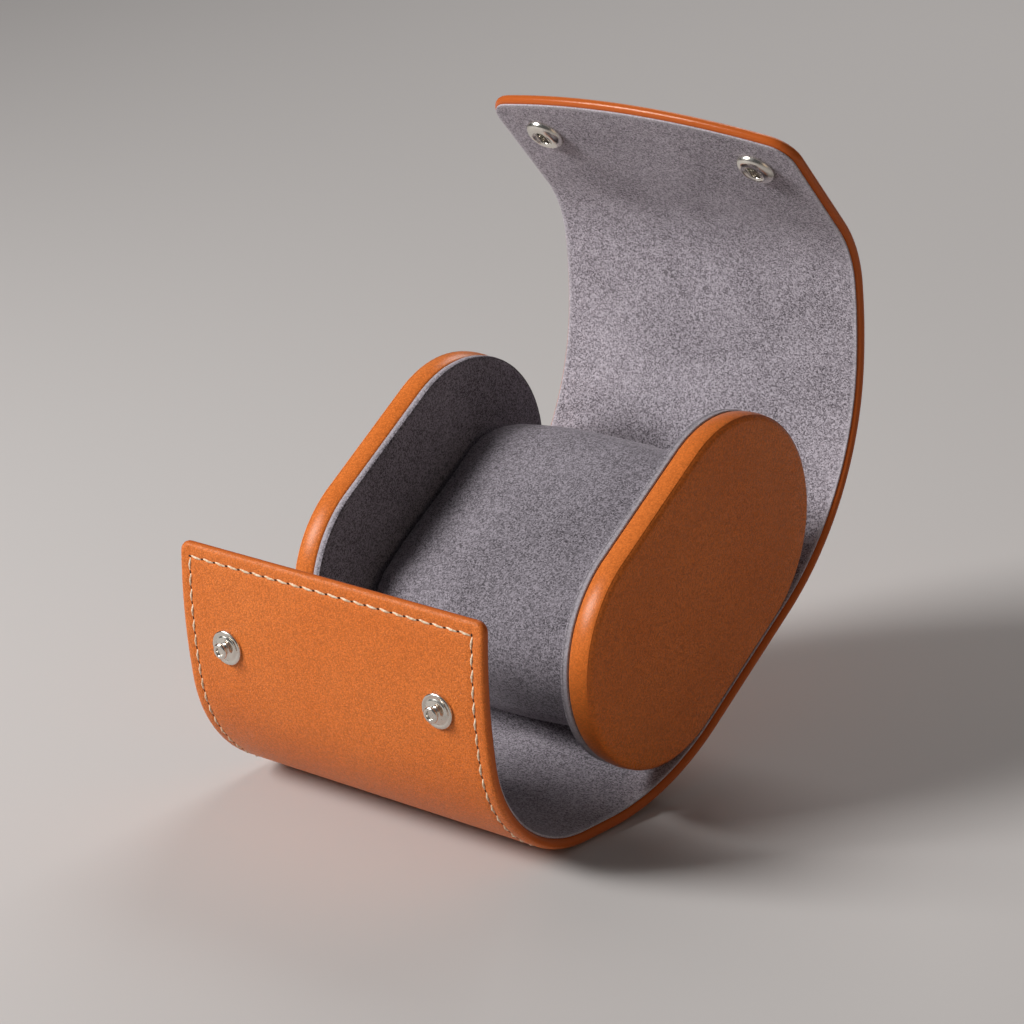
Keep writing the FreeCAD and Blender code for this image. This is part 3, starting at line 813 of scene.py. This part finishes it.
# the seams that join the end panels to the strip, slightly puckered, and the give of soft foam
for vertex, facing in [(vertex, vertex.normal.copy()) for vertex in pillow.data.vertices]:
    away = abs(abs(vertex.co.x) - seam_place) / seam_half_width
    pucker = math.sin(pucker_count * math.atan2(vertex.co.z, vertex.co.y)) * max(0.0, 1 - away / 3)
    give = noise.noise(vertex.co / give_width)
    sunk = seam_depth * max(0.0, 1 - away ** 2) ** 2 + pucker_depth * pucker + give_depth * (give + 1)
    vertex.co -= facing * sunk
    vertex.co.z += pillow_low + pillow_thickness / 2
lean_back(pillow)
finish_piece(pillow, interior_suede_with_painted_shade, 60)
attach(pillow, "pillow")
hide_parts("pillow_cover", "pillow_foam")

# Press studs: turned and pressed from nickel-plated brass. On the flap a stud with a round head, riveted
# through to a rolled eyelet inside; on the lid a domed socket with two spring wires, held by a cap outside.
snap_spacing = 53 * MM
stud_station, socket_inset = 19.8 * MM, 12.8 * MM
socket_station = lid_tip - socket_inset
stud_profile = [(3.6, 0), (3.6, 0.3), (3.52, 0.48), (3.3, 0.58), (3.05, 0.58), (2.85, 0.5), (2.68, 0.46)]
stud_profile += [(2.56, 0.5), (2.42, 0.62), (2.15, 0.72), (1.75, 0.78), (1.35, 0.84), (1.12, 0.95)]
stud_profile += [(1.04, 1.12), (1.04, 1.5), (1.2, 1.66), (1.45, 1.76), (1.62, 1.92), (1.66, 2.1)]
stud_profile += [(1.58, 2.3), (1.36, 2.45), (1.06, 2.5), (0.92, 2.46), (0.82, 2.34), (0.76, 2.1)]
eyelet_profile = [(3.5, 0), (3.48, 0.2), (3.3, 0.4), (2.95, 0.5), (2.5, 0.48), (2.1, 0.36), (1.8, 0.2)]
eyelet_profile += [(1.7, 0.05)]
socket_profile = [(4.2, 0), (4.2, 0.3), (4.15, 0.55), (3.98, 0.88), (3.7, 1.2), (3.3, 1.46), (2.9, 1.63)]
socket_profile += [(2.5, 1.7), (2.28, 1.66), (2.14, 1.54), (2.06, 1.4), (1.99, 1.38), (1.93, 1.44)]
socket_profile += [(1.86, 1.46), (1.79, 1.4), (1.75, 1.2), (1.74, 0.06)]
cap_profile = [(4.8, 0), (4.78, 0.2), (4.6, 0.42), (4.2, 0.62), (3.5, 0.8), (2.5, 0.92), (1.3, 0.98)]
cap_profile += [(0.4, 1.0)]
wire_radius, wire_length = 0.25 * MM, 3.2 * MM
wire_shift, wire_height = 1.35 * MM, 1.2 * MM
wire_edge = 0.08 * MM


def nickel_plate():
    """Bright nickel plate on brass: a mirror with a warm grey cast, softened by fine handling scratches
    and a few dull spots. The scratches are drawn coarser than real, to show."""
    tree, shader, made = new_material("bright_nickel_plate")
    place = add_node(tree, "ShaderNodeTexCoord").outputs["Object"]
    scratch_width, spot_width = 1.2 * MM, 1.6 * MM
    drawn_out = add_node(tree, "ShaderNodeMapping", {"Vector": place, "Scale": (1, 6, 1)})
    scratches = add_node(tree, "ShaderNodeTexNoise", {
        "Vector": drawn_out.outputs[0], "Scale": 1 / scratch_width, "Detail": 4.0})
    spots = add_node(tree, "ShaderNodeTexNoise", {"Vector": place, "Scale": 1 / spot_width})
    gloss = add_node(tree, "ShaderNodeMapRange", {
        "Value": spots.outputs["Fac"], "From Min": 0.35, "From Max": 0.65, "To Min": 0.14, "To Max": 0.28})
    tone = add_node(tree, "ShaderNodeMix", {
        "Factor": spots.outputs["Fac"], "A": colour("#E6E2DA"), "B": colour("#D0CBC2")}, data_type="RGBA")
    tree.links.new(tone.outputs["Result"], shader.inputs["Base Color"])
    tree.links.new(gloss.outputs[0], shader.inputs["Roughness"])
    bump = add_node(tree, "ShaderNodeBump", {
        "Height": scratches.outputs["Fac"], "Strength": 0.12, "Distance": 0.05 * MM})
    tree.links.new(bump.outputs["Normal"], shader.inputs["Normal"])
    shader.inputs["Metallic"].default_value = 1.0
    return made


def turned(name, profile):
    """A turned piece: a disc drawn up ring by ring along a profile of radius and height in millimetres."""
    radius, height = profile[0]
    deselect()
    bpy.ops.mesh.primitive_circle_add(
        vertices=48, radius=radius * MM, fill_type="NGON", location=(0, 0, height * MM))
    piece = bpy.context.object
    piece.name = name
    bpy.ops.object.transform_apply(location=True, rotation=True, scale=True)
    bpy.ops.object.mode_set(mode="EDIT")
    bpy.ops.mesh.select_all(action="SELECT")
    for (radius, height), (next_radius, next_height) in zip(profile, profile[1:]):
        bpy.ops.mesh.extrude_region_move(
            TRANSFORM_OT_translate={"value": (0, 0, (next_height - height) * MM)})
        share = next_radius / radius
        bpy.ops.transform.resize(value=(share, share, 1), center_override=(0, 0, next_height * MM))
    bpy.ops.mesh.select_all(action="SELECT")
    bpy.ops.mesh.normals_make_consistent(inside=False)
    bpy.ops.object.mode_set(mode="OBJECT")
    return piece


def set_on_wrap(piece, x, station, depth, outwards):
    """Places a turned piece on the wrap, with its axis square to the leather."""
    axis = -inward(station) if outwards else inward(station)
    across = Vector((1, 0, 0))
    stand = Matrix((across, axis.cross(across), axis)).transposed().to_4x4()
    piece.data.transform(Matrix.Translation(wrap_point(station, depth, x)) @ stand)


nickel = nickel_plate()
for side, name in ((1, "right"), (-1, "left")):
    x = side * snap_spacing / 2
    pieces_of_snap = [
        ("stud", stud_profile, stud_station, 0.0, True, "flap", "snap_studs"),
        ("eyelet", eyelet_profile, stud_station, wrap_thickness, False, "flap", "snap_eyelets"),
        ("socket", socket_profile, socket_station, wrap_thickness, False, "lid_end", "snap_sockets"),
        ("cap", cap_profile, socket_station, 0.0, True, "lid_end", "snap_caps"),
    ]
    for word, profile, station, depth, outwards, body, stands_for in pieces_of_snap:
        snap = turned(name + "_snap_" + word, profile)
        set_on_wrap(snap, x, station, depth, outwards)
        finish_piece(snap, nickel, 50)
        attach(snap, body)
        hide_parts(stands_for)
    for shift in (-wire_shift, wire_shift):
        deselect()
        bpy.ops.mesh.primitive_cylinder_add(
            vertices=12, radius=wire_radius, depth=wire_length, location=(shift, 0, wire_height),
            rotation=(math.radians(90), 0, 0))
        wire = bpy.context.object
        wire.name = name + "_snap_spring_" + ("inner" if shift < 0 else "outer")
        bpy.ops.object.transform_apply(location=True, rotation=True, scale=True)
        pick(wire, "FACE", lambda f: len(f.vertices) > 4)
        bpy.ops.mesh.bevel(affect="EDGES", offset=wire_edge, segments=2)
        bpy.ops.object.mode_set(mode="OBJECT")
        set_on_wrap(wire, x, socket_station, wrap_thickness, False)
        finish_piece(wire, nickel, 50)
        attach(wire, "lid_end")
        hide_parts("snap_springs")
